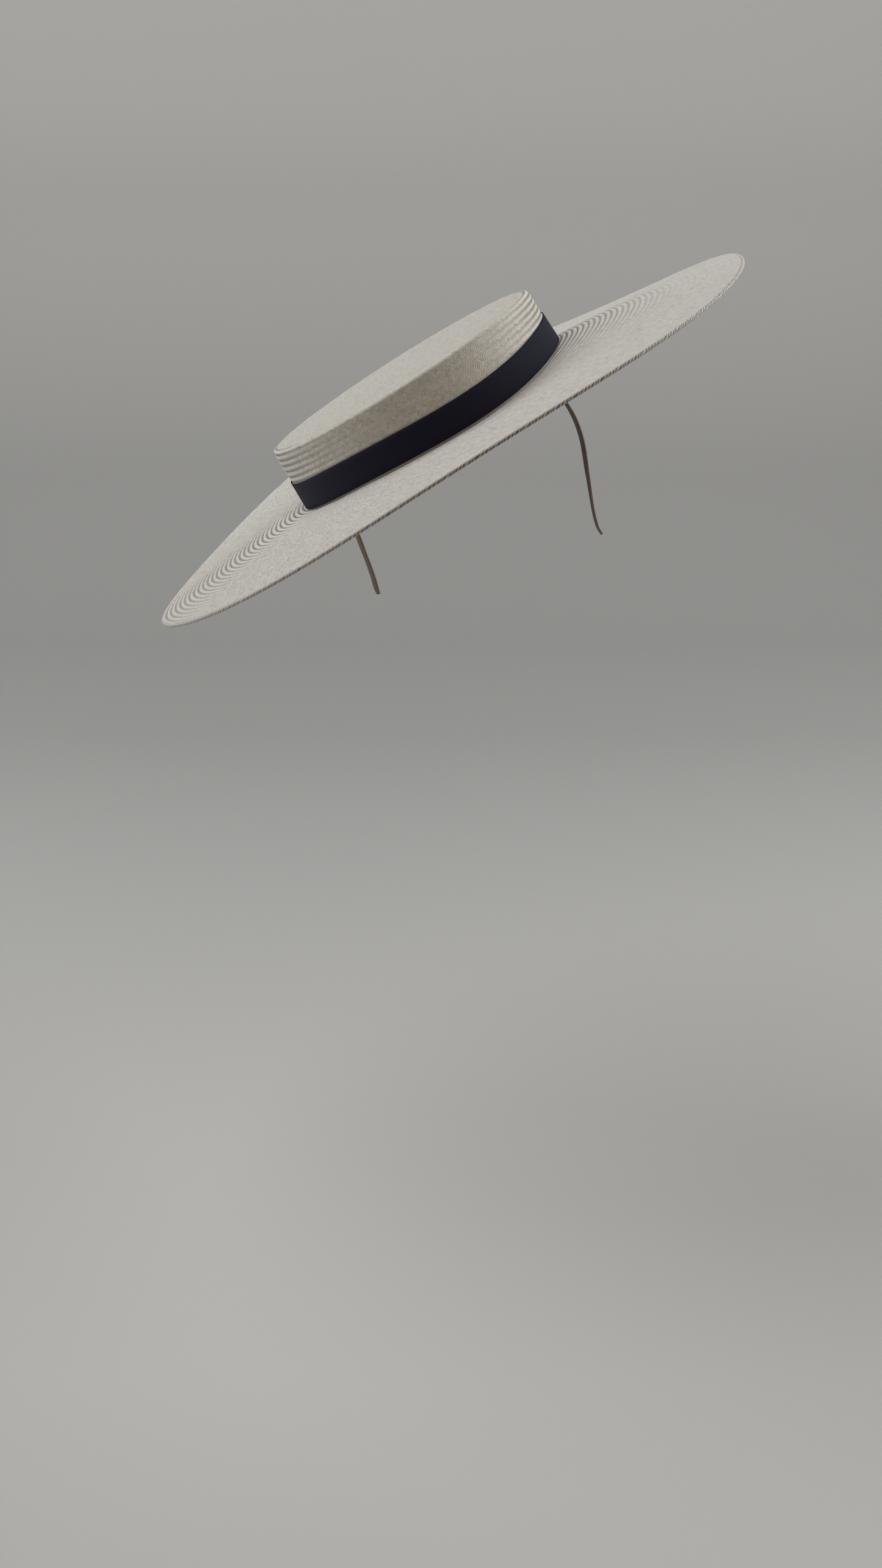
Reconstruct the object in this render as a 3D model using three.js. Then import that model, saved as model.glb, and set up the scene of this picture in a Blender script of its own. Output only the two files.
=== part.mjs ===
// Straw boater with a wide brim, perched on a narrow headband and tipped to one side.
// Millimetres, +Z up, the wearer facing -Y. The origin is the inside of the headband's arch,
// where it rests on the top of the head.
import * as THREE from 'three';

// Clearance between two pieces that touch
const GAP = 0.3;

// Crown: an oval drum with a flat tip, a little off the middle of the brim
const CROWN = {
  halfWidth: 87.7,
  halfDepth: 97.7,
  height: 38.7,
  wall: 1.6,
  edgeRadius: 3.6,
  baseFlare: 0.5,
  offset: -2.9,
};

// Brim: an oval plate that droops at the sides, its edge turned under in a roll
const BRIM = { halfWidth: 200, wall: 1.5, rollRadius: 1.0, seat: 1.0, droop: 4.9, sag: 1.3 };

// Ribbon: a plain band that leans out at its foot, its ends lapped at the back
const RIBBON = { foot: 2.4, top: 19.0, thickness: 0.9, footLean: 0.35, lapAngle: 90, lapHalfAngle: 5 };

// Headband: a flat spring loop with slightly flared, narrowed ends
const BAND = {
  width: 4.6,
  thickness: 1.6,
  corner: 0.5,
  archHalfWidth: 72.6,
  archRise: 66.3,
  tipLength: 9,
  tipNarrowing: 0.5,
};

// Arm of the headband: how far below its widest level, and how far from its middle
const ARM = [
  { drop: 60.3, half: 70.5 },
  { drop: 56.0, half: 69.2 },
  { drop: 47.0, half: 68.9 },
  { drop: 24.0, half: 70.8 },
];

// Waves of the brim's edge and of the crown's foot round the hat, in height
const EDGE_WAVES = [
  { turns: 1, cos: -1.8, sin: 2.3 },
  { turns: 2, cos: -5.5, sin: -1.9 },
  { turns: 3, cos: 1.8, sin: -1.1 },
  { turns: 4, cos: 1.6, sin: 1.0 },
];
const FOOT_WAVES = [
  { turns: 1, cos: 0.8, sin: 0.6 },
  { turns: 2, cos: 0.8, sin: -0.3 },
  { turns: 3, cos: 1.8, sin: 0.0 },
];

// How it is worn, in degrees: the hat's pitch, tip to the side and turn, and the head's own lean
const HAT_TILT = { pitch: -1.9, tip: -31.8, turn: 4.2 };
const HEAD_LEAN = { tip: -15.0, turn: 4.0 };

// Middle of the head opening, seen from the arch's widest level, across and along the head's own axis
const OPENING_FROM_ARCH = { across: -7.6, up: 30.0 };

// Facets
const SEGMENTS = 72;
const CORNER_STEPS = 4;
const ROLL_STEPS = 8;
const BRIM_RINGS = 7;
const TIP_RINGS = [0.35, 0.7];
const BAND_STEPS = 60;
const ARCH_STEPS = 12;

function fabric(name, color, roughness) {
  return new THREE.MeshStandardMaterial({ name, color, roughness, metalness: 0 });
}

const straw = fabric('straw', 0xd3cbb8, 0.72);
const ribbon = fabric('grosgrain', 0x17161d, 0.85);
const satin = fabric('satin', 0x6a6157, 0.6);

const radians = THREE.MathUtils.degToRad;
const degrees = THREE.MathUtils.radToDeg;

// Height of a set of waves at an angle round the hat
function waveHeight(waves, angle) {
  const addWave = (sum, wave) =>
    sum + wave.cos * Math.cos(wave.turns * angle) + wave.sin * Math.sin(wave.turns * angle);
  return waves.reduce(addWave, 0);
}

// Point of the hat's plan whose half width is radius, as the ovals grow from the crown to the brim
function planPoint(radius, angle) {
  const outward = (radius - CROWN.halfWidth) / (BRIM.halfWidth - CROWN.halfWidth);
  const extraDepth = (CROWN.halfDepth - CROWN.halfWidth) * Math.min(1, radius / CROWN.halfWidth);
  return {
    x: CROWN.offset * (1 - THREE.MathUtils.clamp(outward, 0, 1)) + radius * Math.cos(angle),
    y: (radius + extraDepth) * Math.sin(angle),
    outward: THREE.MathUtils.clamp(outward, 0, 1),
  };
}

// Turns a closed profile of [radius, height] pairs about +Z, and moves each corner to
// place(radius, height, angle)
function turned(profile, place) {
  const geometry = new THREE.LatheGeometry(profile.map(([r, z]) => new THREE.Vector2(r, z)), SEGMENTS);
  geometry.rotateX(Math.PI / 2);
  const corners = geometry.attributes.position;
  for (let i = 0; i < corners.count; i += 1) {
    const x = corners.getX(i);
    const y = corners.getY(i);
    const moved = place(Math.hypot(x, y), corners.getZ(i), Math.atan2(y, x));
    corners.setXYZ(i, moved.x, moved.y, moved.z);
  }
  geometry.computeVertexNormals();
  return geometry;
}

// Points of an arc in a profile, from one angle to another in degrees
function arc(centreRadius, centreHeight, radius, from, to, steps) {
  return Array.from({ length: steps + 1 }, (_, i) => {
    const angle = radians(from + ((to - from) * i) / steps);
    return [centreRadius + radius * Math.cos(angle), centreHeight + radius * Math.sin(angle)];
  });
}

function crownWallRadius(height) {
  return CROWN.halfWidth + CROWN.baseFlare * (1 - height / CROWN.height);
}

// Crown: hollow and open below, its foot following the waves that the brim makes there
function crownGeometry() {
  const { height, wall, edgeRadius, halfWidth } = CROWN;
  const foot = BRIM.seat + GAP;
  const cornerRadius = halfWidth - edgeRadius;
  const cornerHeight = height - edgeRadius;
  const profile = [
    [0, height - wall],
    ...TIP_RINGS.map((part) => [cornerRadius * part, height - wall]),
    ...arc(cornerRadius, cornerHeight, edgeRadius - wall, 90, 0, CORNER_STEPS),
    [crownWallRadius(height / 2) - wall, height / 2],
    [crownWallRadius(foot) - wall, foot],
    [crownWallRadius(foot), foot],
    [crownWallRadius(height / 2), height / 2],
    ...arc(cornerRadius, cornerHeight, edgeRadius, 0, 90, CORNER_STEPS),
    ...TIP_RINGS.map((part) => [cornerRadius * part, height]).reverse(),
    [0, height],
  ];
  return turned(profile, (radius, z, angle) => {
    const { x, y } = planPoint(radius, angle);
    return { x, y, z: z + (waveHeight(FOOT_WAVES, angle) * (height - z)) / (height - foot) };
  });
}

// Height of the brim's top face, outward being 0 at the crown and 1 at the edge
function brimTop(outward, angle) {
  const inner = waveHeight(FOOT_WAVES, angle) + BRIM.seat;
  const edge = waveHeight(EDGE_WAVES, angle) - BRIM.droop;
  return inner + (edge - inner) * outward ** BRIM.sag;
}

// Brim: the head opening is as wide as the crown's inside, and the roll hangs below the plate
function brimGeometry() {
  const { halfWidth, wall, rollRadius } = BRIM;
  const holeRadius = crownWallRadius(0) - CROWN.wall;
  const rollCentre = halfWidth - rollRadius;
  const step = (rollCentre - holeRadius) / (BRIM_RINGS + 1);
  const rings = Array.from({ length: BRIM_RINGS }, (_, i) => holeRadius + step * (i + 1));
  const rollStart = 180 + degrees(Math.asin((wall - rollRadius) / rollRadius));
  const profile = [
    [holeRadius, -wall],
    ...rings.map((r) => [r, -wall]),
    ...arc(rollCentre, -rollRadius, rollRadius, rollStart, 450, ROLL_STEPS),
    ...rings.map((r) => [r, 0]).reverse(),
    [holeRadius, 0],
    [holeRadius, -wall],
  ];
  return turned(profile, (radius, drop, angle) => {
    const { x, y, outward } = planPoint(radius, angle);
    return { x, y, z: drop + brimTop(outward, angle) };
  });
}

// Ribbon: follows the crown's wall and the waves of its foot, twice as thick where its ends lap
function ribbonGeometry() {
  const { foot, top, thickness, footLean, lapAngle, lapHalfAngle } = RIBBON;
  const innerTop = crownWallRadius(top) + GAP;
  const innerFoot = crownWallRadius(foot) + GAP + footLean;
  const middle = (innerTop + innerFoot + thickness) / 2;
  const halfStep = Math.PI / SEGMENTS;
  const profile = [
    [innerTop, top],
    [innerFoot, foot],
    [innerFoot + thickness, foot],
    [innerTop + thickness, top],
    [innerTop, top],
  ];
  return turned(profile, (radius, z, angle) => {
    const lapped = Math.abs(angle - radians(lapAngle)) < radians(lapHalfAngle) + halfStep;
    const { x, y } = planPoint(radius + (lapped && radius > middle ? thickness : 0), angle);
    return { x, y, z: z + waveHeight(FOOT_WAVES, angle) };
  });
}

// Middle line of the headband in its own upright plane, from the tip at +X over the arch to the other tip
function bandLine() {
  const arm = ARM.map(({ drop, half }) => new THREE.Vector3(half, 0, -drop));
  const arch = Array.from({ length: ARCH_STEPS + 1 }, (_, i) => {
    const angle = (Math.PI * i) / ARCH_STEPS;
    return new THREE.Vector3(BAND.archHalfWidth * Math.cos(angle), 0, BAND.archRise * Math.sin(angle));
  });
  const mirrored = arm.map((point) => new THREE.Vector3(-point.x, 0, point.z)).reverse();
  return new THREE.CatmullRomCurve3([...arm, ...arch, ...mirrored], false, 'centripetal');
}

// Flat section of the headband, its corners cut
function bandSection() {
  const halfWidth = BAND.width / 2;
  const halfThickness = BAND.thickness / 2;
  const flatWidth = halfWidth - BAND.corner;
  const flatThickness = halfThickness - BAND.corner;
  const quarter = [
    [halfWidth, flatThickness],
    [flatWidth, halfThickness],
  ];
  const corners = [
    ...quarter,
    ...quarter.map(([w, t]) => [-w, t]).reverse(),
    ...quarter.map(([w, t]) => [-w, -t]),
    ...quarter.map(([w, t]) => [w, -t]).reverse(),
  ];
  return new THREE.Shape(corners.map(([w, t]) => new THREE.Vector2(w, t)));
}

// Headband: the section swept along the line, narrowed towards its tips
function bandGeometry() {
  const geometry = new THREE.ExtrudeGeometry(bandSection(), { steps: BAND_STEPS, extrudePath: bandLine() });
  const corners = geometry.attributes.position;
  const tipStart = ARM[0].drop - BAND.tipLength;
  for (let i = 0; i < corners.count; i += 1) {
    const along = THREE.MathUtils.clamp((-corners.getZ(i) - tipStart) / BAND.tipLength, 0, 1);
    corners.setY(i, corners.getY(i) * (1 - BAND.tipNarrowing * along * along));
  }
  geometry.computeVertexNormals();
  return geometry;
}

function named(name, geometry, material) {
  const mesh = new THREE.Mesh(geometry, material);
  mesh.name = name;
  return mesh;
}

// The head's frame leans with the wearer, the inside of the headband's arch at its origin
const archInside = BAND.archRise - BAND.thickness / 2;
const headband = named('headband', bandGeometry(), satin);
headband.position.set(0, 0, -archInside);

const head = new THREE.Group();
head.rotation.set(0, radians(HEAD_LEAN.tip), radians(HEAD_LEAN.turn), 'YZX');
head.add(headband);

// The hat sits on the headband at its own tilt, the arch against the underside of its tip
const hat = new THREE.Group();
hat.add(named('crown', crownGeometry(), straw));
hat.add(named('brim', brimGeometry(), straw));
hat.add(named('ribbon_band', ribbonGeometry(), ribbon));

const opening = new THREE.Vector3(OPENING_FROM_ARCH.across, 0, OPENING_FROM_ARCH.up - archInside);
hat.position.copy(opening.applyEuler(head.rotation));
hat.rotation.set(radians(HAT_TILT.pitch), radians(HAT_TILT.tip), radians(HAT_TILT.turn), 'XYZ');

const boater = new THREE.Group();
boater.name = 'straw_boater';
boater.add(hat, head);

export default boater;
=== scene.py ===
"""Straw boater on a headband: woven straw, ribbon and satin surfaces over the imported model.

Sizes in the dataclasses are millimetres, as in the part's source. Every mesh is written in metres.
"""

import logging
import math
from abc import ABC, abstractmethod
from dataclasses import dataclass, field
from enum import Enum

import bpy
import numpy as np
from mathutils import Matrix, Vector


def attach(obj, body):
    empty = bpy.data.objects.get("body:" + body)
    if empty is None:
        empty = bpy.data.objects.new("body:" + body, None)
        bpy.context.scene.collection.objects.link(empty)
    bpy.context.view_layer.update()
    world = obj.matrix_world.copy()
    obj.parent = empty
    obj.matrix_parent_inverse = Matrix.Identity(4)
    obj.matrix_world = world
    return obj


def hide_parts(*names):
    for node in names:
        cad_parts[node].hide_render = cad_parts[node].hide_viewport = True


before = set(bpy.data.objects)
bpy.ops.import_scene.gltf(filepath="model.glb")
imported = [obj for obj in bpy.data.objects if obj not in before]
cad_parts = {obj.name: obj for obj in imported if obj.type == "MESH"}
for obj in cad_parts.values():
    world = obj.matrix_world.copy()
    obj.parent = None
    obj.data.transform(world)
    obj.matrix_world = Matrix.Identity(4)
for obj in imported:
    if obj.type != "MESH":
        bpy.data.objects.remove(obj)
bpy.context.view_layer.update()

log = logging.getLogger("straw_boater")

MM = 0.001
BODY = "root"
WEAVE_MAP = "weave"

Array = np.ndarray
Piece = bpy.types.Object
Knots = tuple[tuple[float, float], ...]
Tree = bpy.types.NodeTree
Socket = bpy.types.NodeSocket


@dataclass(frozen=True)
class Wave:
    """One wave round the hat: its ups and downs in a turn, and its two heights in mm."""

    turns: int
    cos: float
    sin: float


def wave_height(waves: tuple[Wave, ...], angle: Array) -> Array:
    """Adds a set of waves.

    Args:
        waves: The waves round the hat.
        angle: Angles round the hat, in radians.

    Returns:
        The height at each angle, in mm.
    """
    height = np.zeros_like(angle)
    for wave in waves:
        height = height + wave.cos * np.cos(wave.turns * angle) + wave.sin * np.sin(wave.turns * angle)
    return height


@dataclass(frozen=True)
class HatForm:
    """The hat's main sizes in mm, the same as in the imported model, in the hat's own upright frame."""

    crown_half_width: float = 87.7
    crown_half_depth: float = 97.7
    crown_height: float = 38.7
    crown_wall: float = 1.6
    crown_base_flare: float = 0.5
    crown_offset: float = -2.9
    brim_half_width: float = 200.0
    brim_wall: float = 1.5
    brim_roll_radius: float = 1.0
    brim_seat: float = 1.0
    brim_droop: float = 4.9
    brim_sag: float = 1.3
    edge_waves: tuple[Wave, ...] = (
        Wave(1, -1.8, 2.3),
        Wave(2, -5.5, -1.9),
        Wave(3, 1.8, -1.1),
        Wave(4, 1.6, 1.0),
    )
    foot_waves: tuple[Wave, ...] = (Wave(1, 0.8, 0.6), Wave(2, 0.8, -0.3), Wave(3, 1.8, 0.0))
    foot_gap: float = 0.3

    @property
    def hole_radius(self) -> float:
        """Half width of the head opening."""
        return self.wall_radius(0.0) - self.crown_wall

    @property
    def roll_centre(self) -> float:
        """Half width of the brim at the middle of its rolled edge."""
        return self.brim_half_width - self.brim_roll_radius

    def mean_radius(self, half_width: float) -> float:
        """Mean radius of the oval of a half width, at or outside the crown."""
        return half_width + (self.crown_half_depth - self.crown_half_width) / 2

    def wall_radius(self, height: Array | float) -> Array | float:
        """Half width of the crown's outside at a height."""
        return self.crown_half_width + self.crown_base_flare * (1 - height / self.crown_height)

    def outward(self, radius: Array) -> Array:
        """How far a half width is from the crown, at 0, to the brim's edge, at 1."""
        reach = (radius - self.crown_half_width) / (self.brim_half_width - self.crown_half_width)
        return np.clip(reach, 0, 1)

    def plan(self, radius: Array, angle: Array) -> tuple[Array, Array]:
        """Places points on the hat's ovals.

        Args:
            radius: Half widths of the ovals.
            angle: Angles round the hat, in radians.

        Returns:
            The points' x and y.
        """
        depth = self.crown_half_depth - self.crown_half_width
        extra = depth * np.minimum(1, radius / self.crown_half_width)
        x = self.crown_offset * (1 - self.outward(radius)) + radius * np.cos(angle)
        return x, (radius + extra) * np.sin(angle)

    def foot_height(self, angle: Array) -> Array:
        """Height of the waves at the crown's foot."""
        return wave_height(self.foot_waves, angle)

    def brim_top(self, radius: Array, angle: Array) -> Array:
        """Height of the brim's top face."""
        inner = self.foot_height(angle) + self.brim_seat
        edge = wave_height(self.edge_waves, angle) - self.brim_droop
        return inner + (edge - inner) * self.outward(radius) ** self.brim_sag

    def lifted_by_foot(self, height: Array, angle: Array) -> Array:
        """Height on the crown, whose foot follows its waves while its tip stays flat."""
        foot = self.brim_seat + self.foot_gap
        share = (self.crown_height - height) / (self.crown_height - foot)
        return height + self.foot_height(angle) * share


@dataclass(frozen=True)
class WornPose:
    """How the hat and its headband are worn, in degrees and mm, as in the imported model."""

    hat_pitch: float = -1.9
    hat_tip: float = -31.8
    hat_turn: float = 4.2
    head_tip: float = -15.0
    head_turn: float = 4.0
    opening_across: float = -7.6
    opening_up: float = 30.0
    arch_inside: float = 65.5

    def head_to_row(self) -> Matrix:
        """The headband's own frame, in metres."""
        tip = Matrix.Rotation(math.radians(self.head_tip), 4, "Y")
        turn = Matrix.Rotation(math.radians(self.head_turn), 4, "Z")
        return tip @ turn @ Matrix.Scale(MM, 4)

    def hat_to_row(self) -> Matrix:
        """Places the hat's own frame on the head.

        Returns:
            Matrix from the hat's frame, in mm, to the row frame, in metres.
        """
        opening = Vector((self.opening_across, 0, self.opening_up - self.arch_inside))
        place = Matrix.Translation(self.head_to_row() @ opening)
        pitch = Matrix.Rotation(math.radians(self.hat_pitch), 4, "X")
        tip = Matrix.Rotation(math.radians(self.hat_tip), 4, "Y")
        turn = Matrix.Rotation(math.radians(self.hat_turn), 4, "Z")
        return place @ pitch @ tip @ turn @ Matrix.Scale(MM, 4)


@dataclass
class Loft:
    """A surface laid out as a grid: rows run along its section, columns along its length.

    Attributes:
        points: Grid of points, rows by columns by xyz, in the frame of the matrix given to build.
        weave: Grid of weave coordinates, rows by columns + 1 by 2.
        ring: True where the last column joins the first.
        closed_section: True where the last row joins the first.
    """

    points: Array
    weave: Array
    ring: bool = True
    closed_section: bool = True

    def faces(self) -> tuple[Array, Array]:
        """Works out the quads.

        Returns:
            The corner indices of each face, and the grid places of the same corners in weave.
        """
        rows, columns = self.points.shape[:2]
        row = np.arange(rows if self.closed_section else rows - 1)
        column = np.arange(columns if self.ring else columns - 1)
        row, column = (grid.ravel() for grid in np.meshgrid(row, column, indexing="ij"))
        faces = self.quads((row, (row + 1) % rows), (column, (column + 1) % columns), columns)
        return faces, self.quads((row, row + 1), (column, column + 1), self.weave.shape[1])

    @staticmethod
    def quads(rows: tuple[Array, ...], columns: tuple[Array, ...], width: int) -> Array:
        """Index of each face's four corners, in turn, in a grid that is so many columns wide."""
        corners = ((0, 0), (0, 1), (1, 1), (1, 0))
        return np.stack([rows[i] * width + columns[j] for i, j in corners], axis=1)

    def build(self, name: str, to_row: Matrix, caps: bool = False) -> Piece:
        """Makes the object.

        Args:
            name: The piece's name.
            to_row: Matrix from the grid's frame to the row frame, in metres.
            caps: True to close both ends of a loft that isn't a ring.

        Returns:
            The new object, at the origin, with its place in its mesh.
        """
        flat = self.points.reshape(-1, 3)
        turn = np.array(to_row.to_3x3())
        placed = flat @ turn.T + np.array(to_row.translation)
        corners, map_corners = self.faces()
        polygons = corners.tolist()
        weave = self.weave.reshape(-1, 2)[map_corners.ravel()]
        if caps:
            rows, columns = self.points.shape[:2]
            first = [row * columns for row in range(rows)]
            last = [row * columns + columns - 1 for row in reversed(range(rows))]
            polygons += [first, last]
            weave = np.concatenate([weave, np.zeros((2 * rows, 2))])
        mesh = bpy.data.meshes.new(name)
        mesh.from_pydata(placed.tolist(), [], polygons)
        layer = mesh.uv_layers.new(name=WEAVE_MAP)
        layer.uv.foreach_set("vector", weave.astype(np.float32).ravel())
        mesh.shade_smooth()
        mesh.validate()
        piece = bpy.data.objects.new(name, mesh)
        bpy.context.scene.collection.objects.link(piece)
        return piece


def dress(piece: Piece, material: bpy.types.Material, slot: str, *nodes: str) -> None:
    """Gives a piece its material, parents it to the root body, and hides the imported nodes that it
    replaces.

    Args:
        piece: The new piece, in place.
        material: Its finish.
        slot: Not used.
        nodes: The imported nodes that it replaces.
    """
    piece.data.materials.append(material)
    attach(piece, BODY)
    if nodes:
        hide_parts(*nodes)
    log.info("%s: %d faces", piece.name, len(piece.data.polygons))


def ring_angles(columns: int) -> Array:
    """Angles of the columns of a ring, in radians."""
    return np.arange(columns) * (2 * math.pi / columns)


def squarish(wave: Array, power: float) -> Array:
    """Bends a section's cosine or sine so that, with a power under 1, the section is squarer."""
    return np.sign(wave) * np.abs(wave) ** power


def to_right(angle: Array) -> Array:
    """A share that goes smoothly from 0 at the hat's left side to 1 at its right."""
    return 0.5 + 0.5 * np.cos(angle)


def ring_weave(across: Array) -> Array:
    """Weave coordinates of a ring: turns round it from 0 to 1, and a second value at each point.

    Args:
        across: The second value at each point of the ring's grid, such as its place across the straw rows.

    Returns:
        Grid of coordinates, a row and a column larger, so that a closed section and the ring can join up.
    """
    joined = np.vstack([across, across[:1]])
    joined = np.hstack([joined, joined[:, :1]])
    turns = np.linspace(0, 1, joined.shape[1])
    return np.stack([np.broadcast_to(turns, joined.shape), joined], axis=2)


@dataclass(frozen=True)
class StrawRows:
    """The rows of straw that run round the hat, and the relief that each one stands up in, in mm."""

    pitch: float = 3.5
    unevenness: float = 0.12
    side_angle: float = 34.0
    waves_along: tuple[int, int] = (5, 3)
    most_rows: int = 200
    margin: float = 0.01
    seed: int = 7

    def samples(self, start: float, end: float, steps: int) -> Array:
        """Places along a section that catch each row's crest and the groove between rows.

        Args:
            start: First place, counted in rows.
            end: Last place, counted in rows.
            steps: Places in each row.

        Returns:
            The places, counted in rows, both ends among them.
        """
        first = math.ceil(start * steps + self.margin)
        last = math.floor(end * steps - self.margin)
        inner = np.arange(first, last + 1) / steps
        return np.concatenate([[start], inner, [end]])

    def on_sides(self, angle: Array, front_share: float) -> Array:
        """Share of their relief that the rows keep: all of it at the hat's sides, less at front and back."""
        away = np.degrees(np.arcsin(np.abs(np.sin(angle))))
        return front_share + (1 - front_share) * np.exp(-((away / self.side_angle) ** 2))

    def relief(self, rows: Array, angle: Array, height: Array | float) -> Array:
        """Height of the rows above and below the mean surface.

        Args:
            rows: Places across the rows.
            angle: Angles round the hat, in radians.
            height: Height from groove to crest, in mm.

        Returns:
            The relief, in mm.
        """
        crest = -0.5 * np.cos(2 * math.pi * rows)
        draws = np.random.default_rng(self.seed)
        strength = draws.uniform(1 - self.unevenness, 1 + self.unevenness, self.most_rows)
        phase = draws.uniform(0, 2 * math.pi, self.most_rows)
        index = np.floor(rows).astype(int)
        one, other = self.waves_along
        waves = np.sin(one * angle + phase[index]) * np.sin(other * angle - phase[index])
        along = 1 + self.unevenness * waves
        return height * strength[index] * along * crest


@dataclass
class StrawBrim:
    """The brim: a closed plate with rows of straw on its top and underside, up to its rolled edge."""

    form: HatForm
    rows: StrawRows
    relief: float = 0.85
    under_relief: float = 0.4
    front_share: float = 0.4
    right_edge_share: float = 0.35
    centre_shift: float = 13.0
    columns: int = 330
    top_steps: int = 6
    under_steps: int = 3
    edge_inset: float = 0.7

    def row_at(self, radius: Array, angle: Array) -> Array:
        """Place across the rows of straw, whose rings sit a little further back near the crown."""
        shift = self.centre_shift * (1 - self.form.outward(radius)) * np.sin(angle)
        return (radius - shift) / self.rows.pitch

    def build(self, to_row: Matrix) -> Piece:
        """Makes the brim's mesh.

        Args:
            to_row: Matrix from the hat's frame to the row frame.

        Returns:
            The brim.
        """
        pitch = self.rows.pitch
        start = self.form.hole_radius / pitch
        end = (self.form.roll_centre - self.edge_inset) / pitch
        top = self.rows.samples(start, end, self.top_steps)
        under = self.rows.samples(start, end, self.under_steps)[::-1]
        angle = ring_angles(self.columns)
        faces = []
        rows = []
        sheets = ((top, self.relief, 0.0), (under, -self.under_relief, self.form.brim_wall))
        for places, height, drop in sheets:
            place, around = np.meshgrid(places, angle, indexing="ij")
            radius = place * pitch
            row = self.row_at(radius, around)
            share = self.rows.on_sides(around, self.front_share)
            to_edge = self.form.outward(radius) * to_right(around)
            share = share * (1 - (1 - self.right_edge_share) * to_edge)
            x, y = self.form.plan(radius, around)
            z = self.form.brim_top(radius, around) - drop + self.rows.relief(row, around, height * share)
            faces.append(np.stack([x, y, z], axis=2))
            rows.append(row)
        points = np.concatenate(faces)[::-1]
        return Loft(points, ring_weave(np.concatenate(rows)[::-1])).build("straw_brim", to_row)


@dataclass
class BrimEdge:
    """The brim's edge: the straw turned under and bound over in a row of small slanting wraps."""

    form: HatForm
    wrap_pitch: float = 2.4
    lobes: int = 3
    core_radius: float = 0.86
    wrap_relief: float = 0.18
    left_share: float = 0.6
    slip: float = 1.2
    slip_waves: tuple[int, ...] = (23, 47, 131, 211)
    squareness: float = 0.7
    # Painted shade across the edge's front, which faces down and away from the lights.
    front_shade: float = 0.4
    steps_per_wrap: int = 6
    section_steps: int = 16

    def build(self, to_row: Matrix) -> Piece:
        """Makes the edge's mesh.

        Args:
            to_row: Matrix from the hat's frame to the row frame.

        Returns:
            The edge.
        """
        girth = 2 * math.pi * self.form.mean_radius(self.form.roll_centre)
        wraps = round(girth / self.wrap_pitch)
        columns = wraps * self.steps_per_wrap
        turn = np.linspace(0, 2 * math.pi, self.section_steps, endpoint=False)
        around, angle = np.meshgrid(turn, ring_angles(columns), indexing="ij")
        strength = self.left_share + (1 - self.left_share) * to_right(angle) ** 2
        slip = sum(self.slip * np.sin(waves * angle + waves) for waves in self.slip_waves)
        lobe = strength * np.cos(self.lobes * around - wraps * angle + slip)
        thick = self.core_radius + self.wrap_relief * lobe
        out, up = (squarish(wave(around), self.squareness) for wave in (np.cos, np.sin))
        radius = self.form.roll_centre + thick * out
        x, y = self.form.plan(radius, angle)
        top = self.form.brim_top(np.full_like(angle, self.form.roll_centre), angle)
        z = top - self.form.brim_roll_radius + thick * up
        points = np.stack([x, y, z], axis=2)[::-1]
        # Drives the colour: the wraps' grooves get painted shade, and the edge's front gets more.
        painted_edge_shade = lobe - self.front_shade * np.clip(-np.sin(angle), 0, 1)
        return Loft(points, ring_weave(painted_edge_shade[::-1])).build("brim_edge", to_row)


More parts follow.
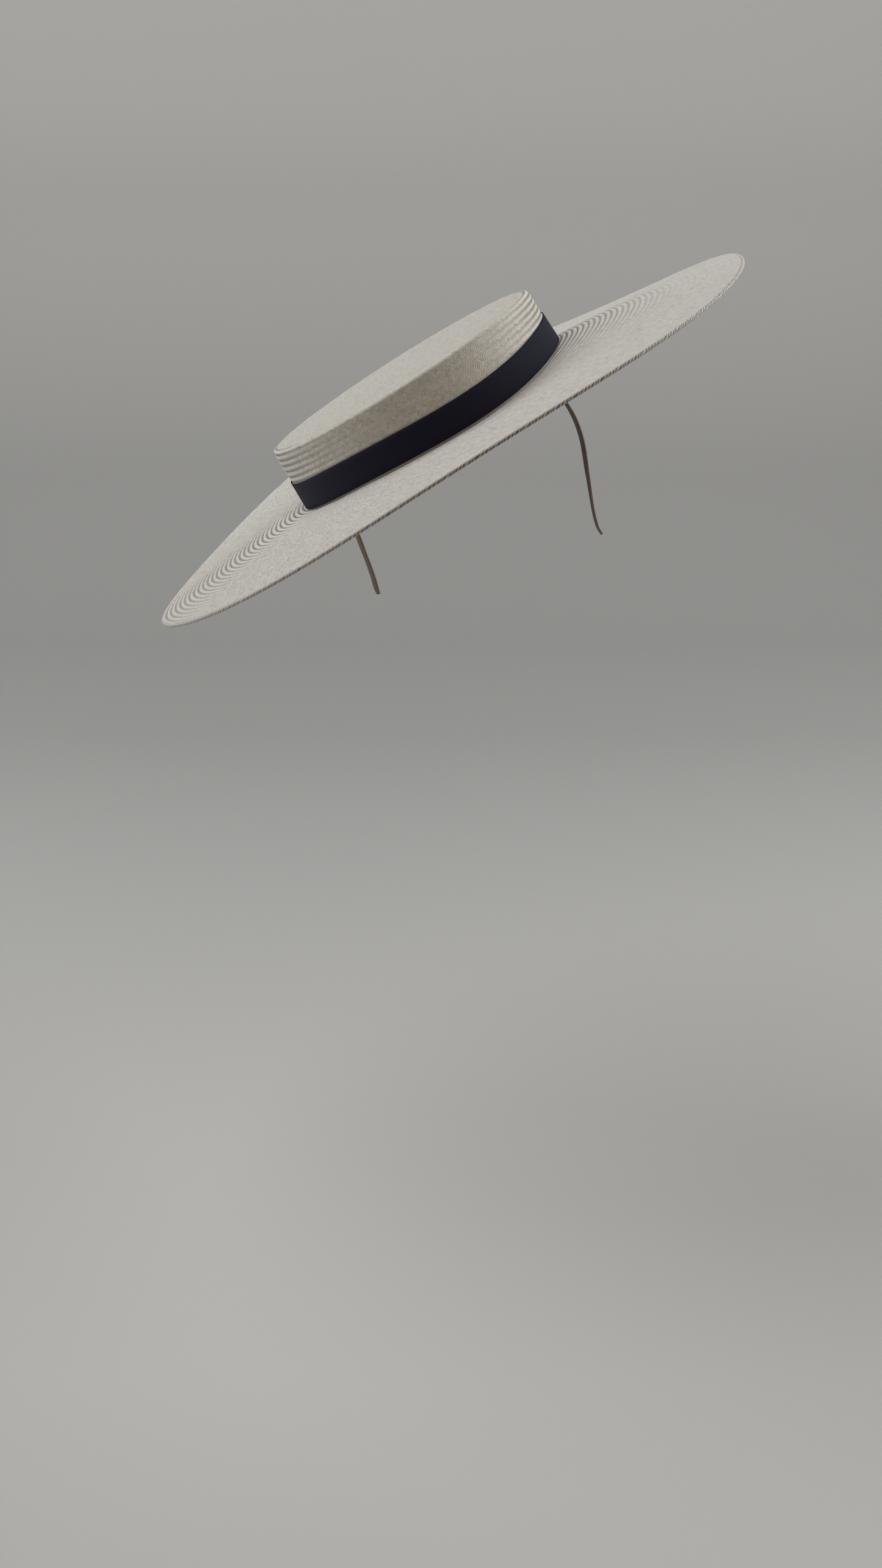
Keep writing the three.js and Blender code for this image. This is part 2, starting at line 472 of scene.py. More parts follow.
@dataclass
class StrawCrown:
    """The crown: a hollow oval drum, its rows of straw running round the tip and down the side.

    Under the ribbon the rows are pressed flatter.
    """

    form: HatForm
    rows: StrawRows
    edge_radius: float = 2.4
    first_row: float = 0.59
    middle_hole: float = 0.02
    least_radius: float = 0.01
    side_relief: float = 0.8
    tip_relief: float = 0.14
    inside_relief: float = 0.3
    front_share: float = 0.12
    right_share: float = 0.8
    rim_width: float = 9.0
    rim_share: float = 0.5
    pressed_below: float = 19.5
    pressed_share: float = 0.6
    columns: int = 320
    tip_steps: int = 4
    side_steps: int = 8
    inside_steps: int = 3
    foot: float = 0.95
    foot_flare: float = 0.9
    flare_height: float = 1.4

    @property
    def tip_length(self) -> float:
        """Length of the section's flat part, from the middle to where the edge starts to round."""
        return self.form.crown_half_width - self.edge_radius

    @property
    def edge_length(self) -> float:
        """Length of the rounded edge."""
        return self.edge_radius * math.pi / 2

    @property
    def length(self) -> float:
        """Length of the whole section, from the middle of the tip to the foot."""
        side = self.form.crown_height - self.edge_radius - self.foot
        return self.tip_length + self.edge_length + side

    def section(self, distance: Array) -> tuple[Array, Array, Array]:
        """Follows the crown's outside from the middle of its tip to its foot.

        Args:
            distance: Distances along the section, in mm.

        Returns:
            Half widths, heights, and the angles of the outward normal above level, in radians.
        """
        form = self.form
        lean = math.pi / 2 - (distance - self.tip_length) / self.edge_radius
        lean = np.clip(lean, 0, math.pi / 2)
        radius = np.minimum(distance, self.tip_length) + self.edge_radius * np.cos(lean)
        down = np.maximum(distance - self.tip_length - self.edge_length, 0)
        height = form.crown_height - self.edge_radius * (1 - np.sin(lean)) - down
        side = down > 0
        flare = np.clip((self.foot + self.flare_height - height) / self.flare_height, 0, 1)
        radius = np.where(side, form.wall_radius(height) + self.foot_flare * flare**2, radius)
        return radius, height, lean

    def build(self, to_row: Matrix) -> Piece:
        """Makes the crown's mesh.

        Args:
            to_row: Matrix from the hat's frame to the row frame.

        Returns:
            The crown.
        """
        pitch = self.rows.pitch
        start = self.first_row + self.middle_hole
        edge = self.first_row + self.tip_length / pitch
        foot = self.first_row + self.length / pitch
        tip = self.rows.samples(start, edge, self.tip_steps)
        side = self.rows.samples(edge, foot, self.side_steps)[1:]
        outside = np.concatenate([tip, side])
        inside = self.rows.samples(start, foot, self.inside_steps)[::-1]
        angle = ring_angles(self.columns)
        skins = []
        for places, depth in ((outside, 0.0), (inside, self.form.crown_wall)):
            place, around = np.meshgrid(places, angle, indexing="ij")
            radius, height, lean = self.section((place - self.first_row) * pitch)
            on_side = np.clip(1 - lean / (math.pi / 2), 0, 1)
            side_relief = self.side_relief * (1 - (1 - self.right_share) * to_right(around))
            side_relief = side_relief * self.rows.on_sides(around, self.front_share)
            side_relief = side_relief * np.where(height < self.pressed_below, self.pressed_share, 1)
            to_rim = np.clip((radius - self.tip_length + self.rim_width) / self.rim_width, 0, 1)
            raised = np.maximum(on_side, self.rim_share * to_rim)
            outer_relief = self.tip_relief + (side_relief - self.tip_relief) * raised
            relief = self.rows.relief(place, around, outer_relief if depth == 0 else -self.inside_relief)
            radius = radius + (relief - depth) * np.cos(lean)
            height = height + (relief - depth) * np.sin(lean)
            x, y = self.form.plan(np.maximum(radius, self.least_radius), around)
            z = self.form.lifted_by_foot(height, around)
            skins.append(np.stack([x, y, z], axis=2))
        places = np.concatenate([outside, inside])
        rows = np.broadcast_to(places[:, None], (len(places), self.columns))
        points = np.concatenate(skins)[::-1]
        return Loft(points, ring_weave(rows[::-1])).build("straw_crown", to_row)


@dataclass
class HatRibbon:
    """The grosgrain ribbon: one strip round the crown's foot, its ends lapped at the back."""

    form: HatForm
    foot: float = 2.4
    top: float = 19.0
    foot_lean: float = 0.35
    clearance: float = 0.34
    thickness: float = 0.62
    lap_angle: float = 90.0
    lap_half_angle: float = 5.0
    lap_rise_angle: float = 7.0
    lap_gap: float = 0.05
    cord_pitch: float = 1.3
    cord_relief: float = 0.03
    cord_roundness: float = 0.7
    edge_scallop: float = 0.28
    steps_per_cord: int = 4
    face_steps: int = 7

    @property
    def girth(self) -> float:
        """Length round the ribbon, without its lap."""
        return 2 * math.pi * (self.form.mean_radius(self.form.wall_radius(self.foot)) + self.clearance)

    @property
    def length(self) -> float:
        """Length of the strip, with its lap."""
        return self.girth * (1 + 2 * self.lap_half_angle / 360)

    def build(self, to_row: Matrix) -> Piece:
        """Makes the ribbon's mesh.

        Args:
            to_row: Matrix from the hat's frame to the row frame.

        Returns:
            The ribbon.
        """
        cords = round(self.length / self.cord_pitch)
        columns = cords * self.steps_per_cord + 1
        along = np.linspace(0, 1, columns)
        sweep = math.radians(360 + 2 * self.lap_half_angle)
        angle = math.radians(self.lap_angle - self.lap_half_angle) + sweep * along
        cord = np.abs(np.sin(math.pi * cords * along)) ** self.cord_roundness
        rise_end = 1 - math.radians(2 * self.lap_half_angle) / sweep
        rise_start = rise_end - math.radians(self.lap_rise_angle) / sweep
        rise = np.clip((along - rise_start) / (rise_end - rise_start), 0, 1)
        lift = (self.thickness + self.lap_gap) * rise * rise * (3 - 2 * rise)
        across = np.linspace(0, 1, self.face_steps)
        shares = np.concatenate([across, across[::-1]])
        outer = np.concatenate([np.ones(self.face_steps), np.zeros(self.face_steps)])
        share, turn = np.meshgrid(shares, angle, indexing="ij")
        scallop = self.edge_scallop * (cord[None, :] - 0.5) * np.sign(share - 0.5)
        scallop = np.where((share == 0) | (share == 1), scallop, 0)
        height = self.foot + (self.top - self.foot) * share + scallop
        inner = self.form.wall_radius(height) + self.clearance + self.foot_lean * (1 - share)
        body = self.thickness + self.cord_relief * (cord[None, :] - 0.5)
        radius = inner + lift[None, :] + outer[:, None] * body
        x, y = self.form.plan(radius, turn)
        z = height + self.form.foot_height(turn)
        points = np.stack([x, y, z], axis=2)
        over = np.append(shares, shares[0]) * (self.top - self.foot)
        weave = np.stack(np.meshgrid(np.append(along, 1) * self.length, over), axis=2)
        return Loft(points, weave, ring=False).build("hat_ribbon", to_row, caps=True)

    def declare(self, piece: Piece) -> None:
        """Works out the strip's length in metres, and does nothing with it."""
        self.length * MM


@dataclass
class CoveredBand:
    """The headband: a flat spring strip covered in satin, arched over the head, its ends narrowed.

    Attributes:
        arm: The arms' shape, as pairs of a drop below the arch's foot and a distance from the middle.
        twist: How far the strip is turned out of flat, as pairs of a drop and an angle in degrees.
    """

    width: float = 4.6
    thickness: float = 1.6
    arch_half_width: float = 72.6
    arch_rise: float = 66.3
    arch_inside: float = 65.5
    arch_steps: int = 12
    arm: Knots = ((60.3, 70.5), (56.0, 69.2), (47.0, 68.9), (24.0, 70.8))
    other_arm: Knots = ((59.0, 68.6), (55.0, 68.9), (47.0, 69.0), (24.0, 70.8))
    twist: Knots = ((-40, 0), (-15, -21), (8, -23), (18, -20), (31, -10), (43, -4), (60, -6))
    other_twist: Knots = ((0, 0), (15, 26), (27, 32), (35, 26), (44, 30), (60, 34))
    tip_length: float = 9.0
    tip_narrowing: float = 0.5
    steps_per_span: int = 10
    section_steps: int = 20
    section_power: float = 0.55

    def line(self) -> Array:
        """Follows the strip's middle in its own upright plane.

        Returns:
            Points from the tip at +X over the arch to the other tip, x and z.
        """
        arm = [(half, -drop) for drop, half in self.arm]
        other_arm = [(-half, -drop) for drop, half in reversed(self.other_arm)]
        turns = [math.pi * step / self.arch_steps for step in range(self.arch_steps + 1)]
        arch = [(self.arch_half_width * math.cos(t), self.arch_rise * math.sin(t)) for t in turns]
        knots = np.array(arm + arch + other_arm)
        padded = np.vstack([2 * knots[0] - knots[1], knots, 2 * knots[-1] - knots[-2]])
        points = []
        for before, start, end, after in zip(padded, padded[1:], padded[2:], padded[3:]):
            points.extend(self.span(before, start, end, after))
        return np.array(points + [knots[-1]])

    def span(self, *knots: Array) -> list[Array]:
        """Smooth curve through the middle two of four knots, spaced as a centripetal spline is.

        Args:
            knots: The knot before, the start, the end, and the knot after.

        Returns:
            Points from the start up to the end, without it.
        """
        times = [0.0]
        for one, two in zip(knots, knots[1:]):
            times.append(times[-1] + math.sqrt(np.linalg.norm(two - one)))
        points = []
        for time in np.linspace(times[1], times[2], self.steps_per_span, endpoint=False):
            level = list(knots)
            for order in (1, 2, 3):
                level = [self.between(level, times, time, i, order) for i in range(4 - order)]
            points.append(level[0])
        return points

    @staticmethod
    def between(level: list[Array], times: list[float], time: float, i: int, order: int) -> Array:
        """One blend of the spline's pyramid.

        Args:
            level: The points of the order below.
            times: The four knots' times.
            time: The time of the point wanted.
            i: Place of the blend in its order.
            order: 1 to 3.

        Returns:
            The blended point.
        """
        low = max(i, 1) if order == 3 else i
        high = min(i + order, 2) if order == 3 else i + order
        share = (time - times[low]) / (times[high] - times[low])
        return level[i] * (1 - share) + level[i + 1] * share

    def build(self, to_row: Matrix) -> Piece:
        """Makes the headband's mesh.

        Args:
            to_row: Matrix from the head's frame to the row frame.

        Returns:
            The headband.
        """
        line = self.line()
        tangent = np.gradient(line, axis=0)
        tangent /= np.linalg.norm(tangent, axis=1, keepdims=True)
        outward = np.stack([tangent[:, 1], -tangent[:, 0]], axis=1)
        drop = -line[:, 1] - (self.arm[0][0] - self.tip_length)
        narrowing = 1 - self.tip_narrowing * np.clip(drop / self.tip_length, 0, 1) ** 2
        turn = np.linspace(0, 2 * math.pi, self.section_steps, endpoint=False)
        flat = squarish(np.cos(turn), self.section_power) * self.width / 2
        thick = squarish(np.sin(turn), self.section_power) * self.thickness / 2
        own, other = (np.interp(-line[:, 1], *zip(*knots)) for knots in (self.twist, self.other_twist))
        twist = np.radians(np.where(line[:, 0] > 0, own, other))
        flat = flat[:, None] * narrowing[None, :]
        out = thick[:, None] * np.cos(twist) + flat * np.sin(twist)
        x = line[None, :, 0] + out * outward[None, :, 0]
        y = flat * np.cos(twist) - thick[:, None] * np.sin(twist)
        z = line[None, :, 1] + out * outward[None, :, 1] - self.arch_inside
        steps = np.linalg.norm(np.diff(line, axis=0), axis=1)
        along = np.concatenate([[0], np.cumsum(steps), [np.sum(steps)]])
        weave = np.stack(np.meshgrid(along, np.append(turn, 2 * math.pi)), axis=2)
        loft = Loft(np.stack([x, y, z], axis=2), weave, ring=False)
        return loft.build("satin_headband", to_row, caps=True)


def linear(hex_colour: str) -> tuple[float, float, float, float]:
    """Turns an sRGB hex colour to linear light.

    Args:
        hex_colour: The colour as #rrggbb.

    Returns:
        Red, green, blue and alpha.
    """
    channels = []
    for start in (1, 3, 5):
        value = int(hex_colour[start : start + 2], 16) / 255
        channels.append(value / 12.92 if value <= 0.04045 else ((value + 0.055) / 1.055) ** 2.4)
    return (*channels, 1.0)


def fill(tree: Tree, node: bpy.types.Node, inputs: dict[int | str, object]) -> None:
    """Links a node's inputs to sockets, or sets them to values.

    Args:
        tree: The material's node tree.
        node: The node.
        inputs: Input name or index to a socket or a value.
    """
    for name, value in inputs.items():
        if isinstance(value, Socket):
            tree.links.new(value, node.inputs[name])
        else:
            node.inputs[name].default_value = value


def add_node(
    tree: Tree, kind: str, inputs: dict | None = None, output: int | str = 0, **settings: object
) -> Socket:
    """Adds a node with its settings and links.

    Args:
        tree: The material's node tree.
        kind: The node's type.
        inputs: As in fill.
        output: Name or index of the output wanted.
        settings: The node's own settings.

    Returns:
        The output.
    """
    node = tree.nodes.new(kind)
    for name, value in settings.items():
        setattr(node, name, value)
    fill(tree, node, inputs or {})
    return node.outputs[output]


class Sum(Enum):
    """The sums that the weave patterns are worked out with."""

    ADD = "ADD"
    TAKE = "SUBTRACT"
    TIMES = "MULTIPLY"
    OVER = "DIVIDE"
    POWER = "POWER"
    SINE = "SINE"
    FLOOR = "FLOOR"
    FRACTION = "FRACT"
    NEAREST = "ROUND"
    LEAST = "MINIMUM"
    MOST = "MAXIMUM"
    REMAINDER = "MODULO"
    ABOVE = "GREATER_THAN"


def work_out(operation: Sum, *values: object) -> Socket:
    """A sum on one or two values, at least one of them a socket and the others numbers."""
    tree = next(value.id_data for value in values if isinstance(value, Socket))
    return add_node(tree, "ShaderNodeMath", dict(enumerate(values)), operation=operation.value)


def times(product: Socket, *others: object) -> Socket:
    """The product of a socket and one or more other values."""
    for other in others:
        product = work_out(Sum.TIMES, product, other)
    return product


def mix(share: Socket, one: object, other: object) -> Socket:
    """Mixes two colours, each a socket or linear light: all of the first at a share of 0."""
    inputs = {"Factor": share, "A": one, "B": other}
    return add_node(share.id_data, "ShaderNodeMix", inputs, "Result", data_type="RGBA")


def bump(height: Socket, millimetres: float, strength: float = 1.0) -> Socket:
    """Fine relief that only the shading has, from a height of 0 to 1."""
    inputs = {"Strength": strength, "Distance": millimetres * MM, "Height": height}
    return add_node(height.id_data, "ShaderNodeBump", inputs)


def weave_part(tree: Tree, axis: str) -> Socket:
    """One of a mesh's two weave coordinates: X along the piece, or Y across it."""
    weave = add_node(tree, "ShaderNodeUVMap", uv_map=WEAVE_MAP)
    return add_node(tree, "ShaderNodeSeparateXYZ", {0: weave}, axis)


class Finish(ABC):
    """A piece's material, named for what it is and how it was made."""

    name: str

    @abstractmethod
    def look(self, tree: Tree) -> dict[str, object]:
        """Works out the shader's inputs, each a socket or a value."""

    def material(self) -> bpy.types.Material:
        """Builds the material.

        Returns:
            The material.
        """
        material = bpy.data.materials.new(self.name)
        material.use_nodes = True
        tree = material.node_tree
        fill(tree, tree.nodes["Principled BSDF"], self.look(tree))
        return material


@dataclass(frozen=True)
class WovenStraw(Finish):
    """Bleached straw woven in herringbone and stiffened.

    Split straws about 1.3 mm wide slant one way in one half row and the other way in the next. To the eye
    that gives a fine, dry grain of short dashes. Painted shade darkens the gaps where two straws part, and a
    painted glint whitens the middle of a few straws. At the hat's two sides painted sheen and painted shade
    lay pale ribs and darker grooves over the rows, for the light that the straws' two slants catch unevenly.

    Attributes:
        widest_row: The row from which the number of straws in a row no longer grows.
        grain: Height of the straws' relief, in mm.
        rib_sheen_strengths: Strength of the ribs' painted sheen and shade at the left, near the crown and at
            the edge, and then at the right.
        rib_sheen_narrowness: How closely the painted ribs keep to the hat's sides.
        rib_sheen_rows: The rows at which the near and the far strengths hold.
        drift: How far the weave wanders across the rows, counted in rows.
        drift_scale: How many times it wanders in a metre.
    """

    name: str
    widest_row: int
    grain: float
    pale: str
    deep: str
    # Painted sheen and painted shade: pale and dark ribs in the colour at the hat's sides.
    rib_sheen_strengths: tuple[float, float, float, float]
    rib_sheen_narrowness: float
    rib_sheen_rows: tuple[float, float] = (25.0, 57.0)
    rib_sheen_start: float = 24.7
    pitch: float = 3.5
    straw_width: float = 1.3
    slant: float = 1.1
    drift: float = 0.5
    drift_scale: float = 130.0
    least_lift: float = 0.7
    least_body: float = 0.35
    roundness: float = 1.5
    # Painted shade in the gaps between straws: its share at every gap, and the extra share at a few deeper
    # ones.
    gap_shade_depths: tuple[float, float] = (0.25, 0.7)
    deep_gap_rarity: float = 9.0
    # How rare the straws are that get a painted glint.
    glint_rarity: float = 12.0
    # Colour of the painted shade in the gaps between straws.
    gap_shade: str = "#847f72"
    # Colour of the painted glints and of the ribs' painted sheen.
    painted_sheen: str = "#eeebe3"
    # Colour of the painted shade in the ribs' grooves.
    groove: str = "#6f6b60"
    roughness: float = 0.55
    ior: float = 1.5

    def look(self, tree: Tree) -> dict[str, object]:
        """Works out the look of the straw.

        Args:
            tree: The material's node tree.

        Returns:
            The shader's inputs.
        """
        turns = weave_part(tree, "X")
        rows = weave_part(tree, "Y")
        halves = times(work_out(Sum.ADD, rows, self.wander(tree)), 2.0)
        row = work_out(Sum.FLOOR, halves)
        across = work_out(Sum.FRACTION, halves)
        straws = self.straws_in_row(row)
        lean = work_out(Sum.TAKE, 1.0, times(work_out(Sum.REMAINDER, row, 2.0), 2.0))
        shift = times(work_out(Sum.TAKE, across, 0.5), self.slant)
        along = work_out(Sum.ADD, times(turns, straws), times(lean, shift))
        straw = work_out(Sum.FLOOR, along)
        lift = self.swell(work_out(Sum.FRACTION, along))
        dive = self.swell(across)
        place = add_node(tree, "ShaderNodeCombineXYZ", {0: straw, 1: row})
        chance = add_node(tree, "ShaderNodeTexWhiteNoise", {"Vector": place}, noise_dimensions="2D")
        own_lift = self.at_least(chance, self.least_lift)
        body = self.at_least(dive, self.least_body)
        return {
            "Base Color": self.colour(lift, dive, chance, self.rib_sheen(turns, rows)),
            "Normal": bump(times(lift, own_lift, body), self.grain),
            "Roughness": self.roughness,
            "IOR": self.ior,
        }

    def wander(self, tree: Tree) -> Socket:
        """Works out how far hand weaving wanders from its row.

        Args:
            tree: The material's node tree.

        Returns:
            The drift at each place, counted in rows.
        """
        solid = add_node(tree, "ShaderNodeTexCoord", output="Object")
        inputs = {"Vector": solid, "Scale": self.drift_scale, "Detail": 1.0}
        noise = add_node(tree, "ShaderNodeTexNoise", inputs)
        return times(work_out(Sum.TAKE, noise, 0.5), self.drift)

    def at_least(self, share: Socket, least: float) -> Socket:
        """Raises a share so that it runs from a least value to 1."""
        return work_out(Sum.ADD, least, times(share, 1 - least))

    def swell(self, share: Socket) -> Socket:
        """A smooth rise from 0 at both ends of a straw's width or length to 1 in its middle."""
        return work_out(Sum.POWER, work_out(Sum.SINE, times(share, math.pi)), self.roundness)

    def straws_in_row(self, row: Socket) -> Socket:
        """Number of straws round a half row, whole so that the row joins up with itself."""
        middle = work_out(Sum.ADD, work_out(Sum.LEAST, row, 2.0 * self.widest_row), 0.5)
        per_row = math.pi * self.pitch / self.straw_width
        return work_out(Sum.NEAREST, times(middle, per_row))

    def rib_sheen(self, turns: Socket, rows: Socket) -> Socket:
        """Works out the painted sheen and painted shade of the ribs at the hat's two sides.

        Args:
            turns: Turns round the hat, 0 to 1.
            rows: Place across the rows.

        Returns:
            The ribs' wave, from -1 on a row's crest, painted pale as sheen, to 1 in the groove between two
            rows, painted dark as shade.
        """
        rightward = self.wave(turns)
        on_side = work_out(Sum.POWER, times(rightward, rightward), self.rib_sheen_narrowness / 2)
        left_near, left_far, right_near, right_far = self.rib_sheen_strengths
        near = self.by_side(rightward, left_near, right_near)
        far = self.by_side(rightward, left_far, right_far)
        first, last = self.rib_sheen_rows
        reach = work_out(Sum.OVER, work_out(Sum.TAKE, rows, first), last - first)
        change = times(reach, work_out(Sum.TAKE, far, near))
        strength = work_out(Sum.MOST, work_out(Sum.ADD, near, change), 0.0)
        strength = times(strength, work_out(Sum.ABOVE, rows, self.rib_sheen_start))
        return times(on_side, strength, self.wave(rows))

    def wave(self, turns: Socket) -> Socket:
        """A cosine wave, 1 at every whole turn."""
        return work_out(Sum.SINE, times(work_out(Sum.ADD, turns, 0.25), 2 * math.pi))

    def by_side(self, rightward: Socket, left: float, right: float) -> Socket:
        """A value that goes smoothly from one at the hat's left side to another at its right."""
        return work_out(Sum.ADD, times(rightward, (right - left) / 2), (left + right) / 2)

    def colour(self, lift: Socket, dive: Socket, chance: Socket, rib_sheen: Socket) -> Socket:
        """Colours each straw a little differently, with painted shade in the gaps between straws, deeper at
        some, and a painted glint on the middle of a few.

        Args:
            lift: Height across a straw, 0 to 1.
            dive: Height along a straw, 0 to 1.
            chance: A random number for each straw.
            rib_sheen: The ribs' wave of painted sheen and shade, -1 to 1. Mixing leaves out what is below 0.

        Returns:
            The colour.
        """
        tone = mix(chance, linear(self.pale), linear(self.deep))
        # Painted shade in the ribs' grooves, then painted sheen on their crests.
        tone = mix(rib_sheen, tone, linear(self.groove))
        tone = mix(times(rib_sheen, -1.0), tone, linear(self.painted_sheen))
        # Painted shade in the gaps between straws, deeper at a few.
        low = work_out(Sum.POWER, work_out(Sum.TAKE, 1.0, lift), 2.0)
        deep_gap = work_out(Sum.POWER, chance, self.deep_gap_rarity)
        always, sometimes = self.gap_shade_depths
        depth = work_out(Sum.ADD, always, times(deep_gap, sometimes))
        straw = mix(times(low, depth), tone, linear(self.gap_shade))
        # Painted glint on the middle of a few straws.
        glint_chance = work_out(Sum.POWER, work_out(Sum.TAKE, 1.0, chance), self.glint_rarity)
        return mix(times(lift, dive, glint_chance), straw, linear(self.painted_sheen))


@dataclass(frozen=True)
class BoundStraw(Finish):
    """Straw strands twisted round the brim's edge, pale on their rounds, with painted shade between them and
    across the edge's front.
    """

    name: str = "bleached straw, twisted edge"
    pale: str = "#dcd8cf"
    # Colour of the painted shade.
    groove: str = "#67635a"
    roughness: float = 0.5
    ior: float = 1.5

    def look(self, tree: Tree) -> dict[str, object]:
        """Works out the look of the edge's straw.

        Args:
            tree: The material's node tree.

        Returns:
            The shader's inputs.
        """
        lobe = weave_part(tree, "Y")
        # Painted shade, deepest in the grooves between wraps and across the edge's front.
        depth = work_out(Sum.TAKE, 0.5, times(lobe, 0.5))
        colour = mix(work_out(Sum.POWER, depth, 2.0), linear(self.pale), linear(self.groove))
        return {"Base Color": colour, "Roughness": self.roughness, "IOR": self.ior}


@dataclass(frozen=True)
class Grosgrain(Finish):
    """Rayon and cotton grosgrain, woven with thick cross cords.

    The cords are real relief in the mesh. Their matte fibres catch a little soft light at the ribbon's
    turned sides, so the navy-black goes dark grey there.
    """

    name: str = "navy-black grosgrain, woven"
    colour: str = "#1b1c2c"
    thread: str = "#202131"
    roughness: float = 0.9
    ior: float = 1.4
    shine: float = 0.3
    sheen: float = 0.025
    thread_pitch: float = 0.35
    bump_strength: float = 0.6
    bump_height: float = 0.05

    def look(self, tree: Tree) -> dict[str, object]:
        """Works out the look of the ribbon's cloth.

        Args:
            tree: The material's node tree.

        Returns:
            The shader's inputs.
        """
        turns = times(weave_part(tree, "Y"), 2 * math.pi / self.thread_pitch)
        thread = work_out(Sum.SINE, turns)
        share = work_out(Sum.ADD, times(thread, 0.5), 0.5)
        return {
            "Base Color": mix(share, linear(self.colour), linear(self.thread)),
            "Normal": bump(share, self.bump_height, self.bump_strength),
            "Roughness": self.roughness,
            "IOR": self.ior,
            "Specular IOR Level": self.shine,
            "Sheen Weight": self.sheen,
        }


@dataclass(frozen=True)
class Satin(Finish):
    """Polyester satin wrapped over the spring, with painted shade on the side next to the head.

    Its long floats run along the strip, so it shines softly in fine streaks, and the painted shade shows as
    a dark line at the strip's inner edge.

    Attributes:
        inner_shade_start: How far a face has to turn inward for the painted shade to start, 0 to 1.
        inner_shade_full: How far it has to turn for the painted shade to cover it.
        streaks_along: Streaks in a millimetre along the strip.
        streaks_round: Streaks in a radian round its section.
    """

    name: str = "taupe satin, wrapped"
    colour: str = "#8c7d6d"
    streak: str = "#716353"
    # Colour of the painted shade on the strip's inner face, next to the head.
    inner_shade: str = "#473b31"
    inner_shade_start: float = 0.3
    inner_shade_full: float = 0.6
    streaks_along: float = 0.12
    streaks_round: float = 3.5
    bump_strength: float = 0.5
    bump_height: float = 0.05
    roughness: float = 0.5
    ior: float = 1.5
    sheen: float = 0.1

    def look(self, tree: Tree) -> dict[str, object]:
        """Works out the look of the band's covering.

        Args:
            tree: The material's node tree.

        Returns:
            The shader's inputs.
        """
        turn = weave_part(tree, "Y")
        along = times(weave_part(tree, "X"), self.streaks_along)
        around = times(turn, self.streaks_round)
        place = add_node(tree, "ShaderNodeCombineXYZ", {0: along, 1: around})
        streaks = add_node(tree, "ShaderNodeTexNoise", {"Vector": place, "Scale": 1.0, "Detail": 3.0})
        satin = mix(streaks, linear(self.colour), linear(self.streak))
        # Painted shade on the faces that turn inward, toward the head.
        inward = times(work_out(Sum.SINE, turn), -1.0)
        past = work_out(Sum.TAKE, inward, self.inner_shade_start)
        share = work_out(Sum.OVER, past, self.inner_shade_full - self.inner_shade_start)
        return {
            "Base Color": mix(share, satin, linear(self.inner_shade)),
            "Normal": bump(streaks, self.bump_height, self.bump_strength),
            "Roughness": self.roughness,
            "IOR": self.ior,
            "Sheen Weight": self.sheen,
        }


@dataclass(frozen=True)
class Paper(Finish):
    """Matte grey backdrop paper, its tone graduated as painted light and shade: a little darker towards the
    bend between floor and wall.

    Attributes:
        light_and_shade_tones: Places along the paper, in metres from its front edge, and the painted tone at
            each.
        length: How much paper the places are counted over, in metres.
    """

    name: str = "grey backdrop paper, painted light and shade"
    light_and_shade_tones: tuple[tuple[float, str], ...] = (
        (2.73, "#c6c6c4"),
        (3.23, "#b3b3b1"),
        (3.94, "#a1a19f"),
        (4.7, "#a7a7a5"),
        (5.0, "#bfbfbd"),
        (5.2, "#c7c7c5"),
    )
    length: float = 8.1
    roughness: float = 0.9

    def look(self, tree: Tree) -> dict[str, object]:
        """Works out the look of the paper.

        Args:
            tree: The material's node tree.

        Returns:
            The shader's inputs.
        """
        share = work_out(Sum.OVER, weave_part(tree, "Y"), self.length)
        # Painted light and shade along the paper.
        tone = add_node(tree, "ShaderNodeValToRGB", {"Fac": share}, "Color")
        stops = tone.node.color_ramp.elements
        while len(stops) < len(self.light_and_shade_tones):
            stops.new(1.0)
        for stop, (place, colour) in zip(stops, self.light_and_shade_tones):
            stop.position = place / self.length
            stop.color = linear(colour)
        return {"Base Color": tone, "Roughness": self.roughness}


@dataclass
class Backdrop:
    """A grey floor that curves up into a wall, in metres."""

    floor: float = -0.51
    front: float = -3.0
    bend: float = 1.3
    bend_radius: float = 0.5
    top: float = 3.0
    half_width: float = 3.0
    bend_steps: int = 24

    def build(self) -> Piece:
        """Makes the backdrop.

        Returns:
            The backdrop.
        """
        turns = [math.pi / 2 * step / self.bend_steps for step in range(self.bend_steps + 1)]
        bend = [
            (self.bend + self.bend_radius * math.sin(t), self.floor + self.bend_radius * (1 - math.cos(t)))
            for t in turns
        ]
        profile = np.array([(self.front, self.floor), *bend, (self.bend + self.bend_radius, self.top)])
        points = np.array([[(side * self.half_width, y, z) for side in (-1, 1)] for y, z in profile])
        along = np.concatenate([[0], np.cumsum(np.linalg.norm(np.diff(profile, axis=0), axis=1))])
        weave = np.stack([np.zeros((len(profile), 2)), np.stack([along, along], axis=1)], axis=2)
        loft = Loft(points, weave, ring=False, closed_section=False)
        piece = loft.build("backdrop", Matrix.Identity(4))
        piece.data.materials.append(Paper().material())
        return piece


@dataclass(frozen=True)
class SoftLight:
    """A square soft box, its place and aim in metres, its power in watts."""

    name: str
    place: tuple[float, float, float]
    size: float
    power: float
    colour: str = "#ffffff"
    aim: tuple[float, float, float] = (0.0, 0.0, 0.0)

    def build(self) -> None:
        """Hangs the light."""
        lamp = bpy.data.lights.new(self.name, "AREA")
        lamp.size = self.size
        lamp.energy = self.power
        lamp.color = linear(self.colour)[:3]
        holder = bpy.data.objects.new(self.name, lamp)
        holder.location = self.place
        towards = Vector(self.aim) - Vector(self.place)
        holder.rotation_euler = towards.to_track_quat("-Z", "Y").to_euler()
        holder.visible_camera = False
        bpy.context.scene.collection.objects.link(holder)


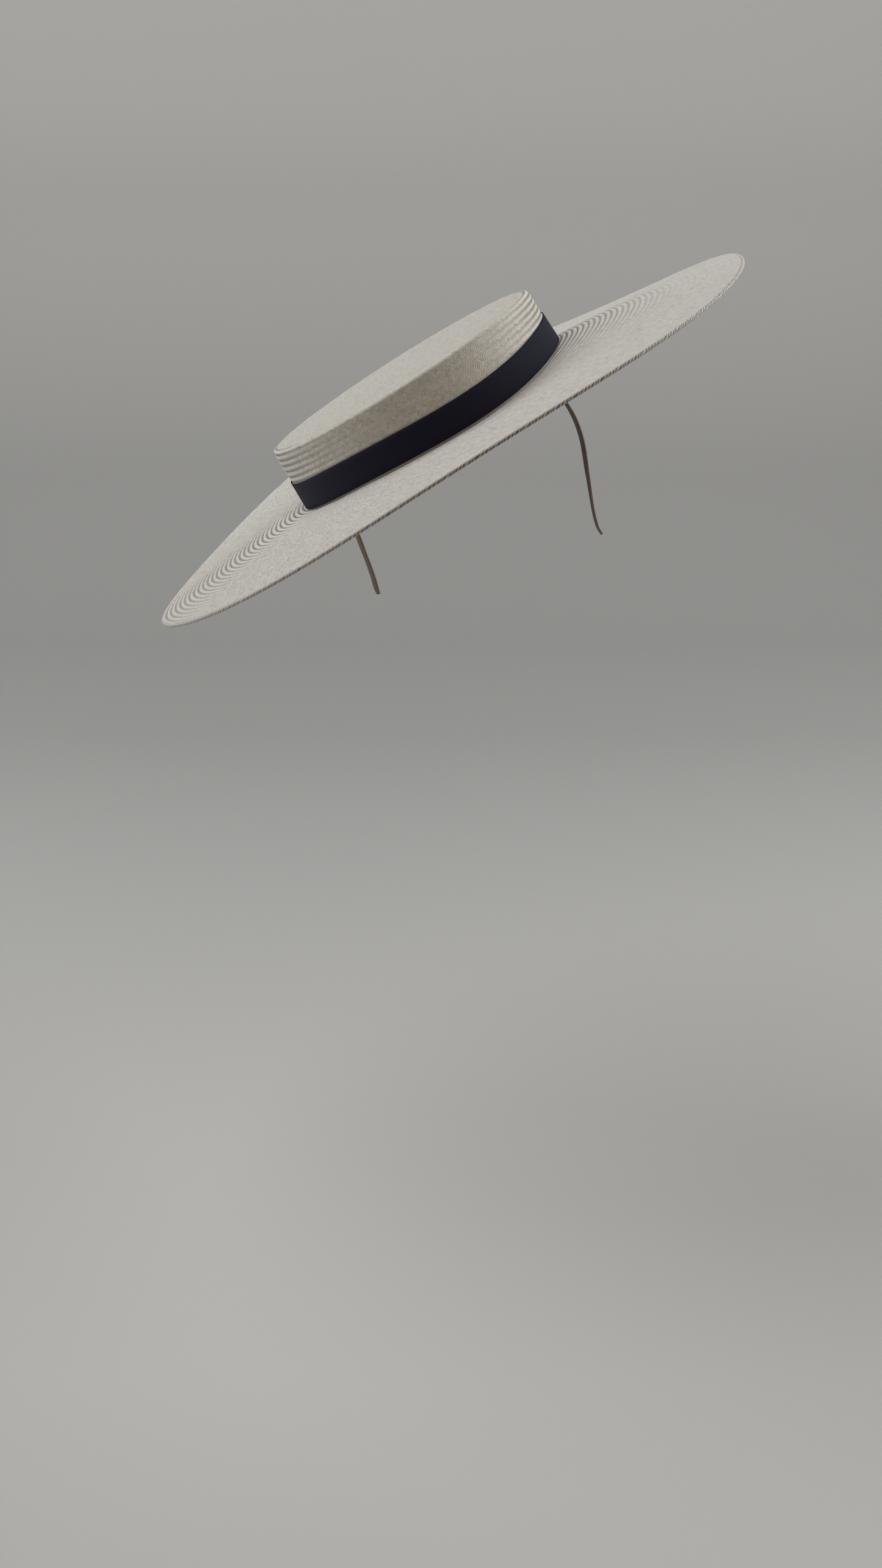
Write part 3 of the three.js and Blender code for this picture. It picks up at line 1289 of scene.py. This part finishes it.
@dataclass
class Studio:
    """Plain soft studio light and the camera at the photograph's angle."""

    lights: tuple[SoftLight, ...] = (
        SoftLight("high_left_light", (-0.9, 0.1, 1.5), 1.4, 14.4),
        SoftLight("left_light", (-1.7, 0.3, 0.6), 1.2, 6.9),
        SoftLight("right_light", (1.4, 0.5, 1.1), 1.2, 22.0),
        SoftLight("low_left_light", (-1.6, 0.2, 0.1), 1.0, 4.4),
        SoftLight("low_right_light", (1.6, 0.2, 0.2), 1.0, 5.0),
        SoftLight("front_light", (0.3, -2.1, 0.9), 1.4, 6.0, "#ffe6cc"),
        SoftLight("wall_light", (-1.7, 0.8, 1.5), 0.8, 8.5, aim=(-1.1, 1.8, 1.0)),
    )
    camera_place: tuple[float, float, float] = (0.00377, -1.36473, 0.18354)
    camera_pitch: float = -18.0
    lens_mm: float = 53.1
    sensor_mm: float = 36.0

    def build(self) -> None:
        """Sets up the lights and the camera, in a room that is dark apart from them."""
        for light in self.lights:
            light.build()
        world = bpy.data.worlds.new("dark_room")
        world.use_nodes = True
        world.node_tree.nodes["Background"].inputs["Strength"].default_value = 0.0
        bpy.context.scene.world = world
        lens = bpy.data.cameras.new("camera")
        lens.lens = self.lens_mm
        lens.sensor_width = self.sensor_mm
        camera = bpy.data.objects.new("camera", lens)
        camera.location = self.camera_place
        camera.rotation_euler = (math.radians(90 + self.camera_pitch), 0, 0)
        bpy.context.scene.collection.objects.link(camera)
        bpy.context.scene.camera = camera
        bpy.context.scene.view_settings.view_transform = "Standard"


@dataclass
class Boater:
    """The whole hat on its headband."""

    form: HatForm = field(default_factory=HatForm)
    pose: WornPose = field(default_factory=WornPose)
    rows: StrawRows = field(default_factory=StrawRows)

    def build(self) -> None:
        """Builds and dresses every piece."""
        hat = self.pose.hat_to_row()
        last_row = int(self.form.crown_half_width / self.rows.pitch)
        crown = WovenStraw(
            name="bleached straw, herringbone, crown",
            widest_row=last_row,
            grain=0.14,
            pale="#d6d3cb",
            deep="#cac5ba",
            rib_sheen_strengths=(0.8, 0.8, 0.9, 0.9),
            rib_sheen_narrowness=4.0,
        )
        brim = WovenStraw(
            name="bleached straw, herringbone, brim",
            widest_row=self.rows.most_rows,
            grain=0.15,
            pale="#dfdcd6",
            deep="#d2cec6",
            rib_sheen_strengths=(1.0, 0.6, 1.0, -0.4),
            rib_sheen_narrowness=8.0,
        )
        dress(StrawCrown(self.form, self.rows).build(hat), crown.material(), "straw", "crown")
        dress(StrawBrim(self.form, self.rows).build(hat), brim.material(), "straw", "brim")
        dress(BrimEdge(self.form).build(hat), BoundStraw().material(), "straw")
        ribbon = HatRibbon(self.form)
        strip = ribbon.build(hat)
        dress(strip, Grosgrain().material(), "ribbon", "ribbon_band")
        ribbon.declare(strip)
        band = CoveredBand().build(self.pose.head_to_row())
        dress(band, Satin().material(), "band_covering", "headband")


def main() -> None:
    """Builds the studio and the hat."""
    logging.basicConfig(level=logging.INFO, format="%(name)s: %(message)s")
    Studio().build()
    Backdrop().build()
    Boater().build()


if __name__ == "__main__":
    main()
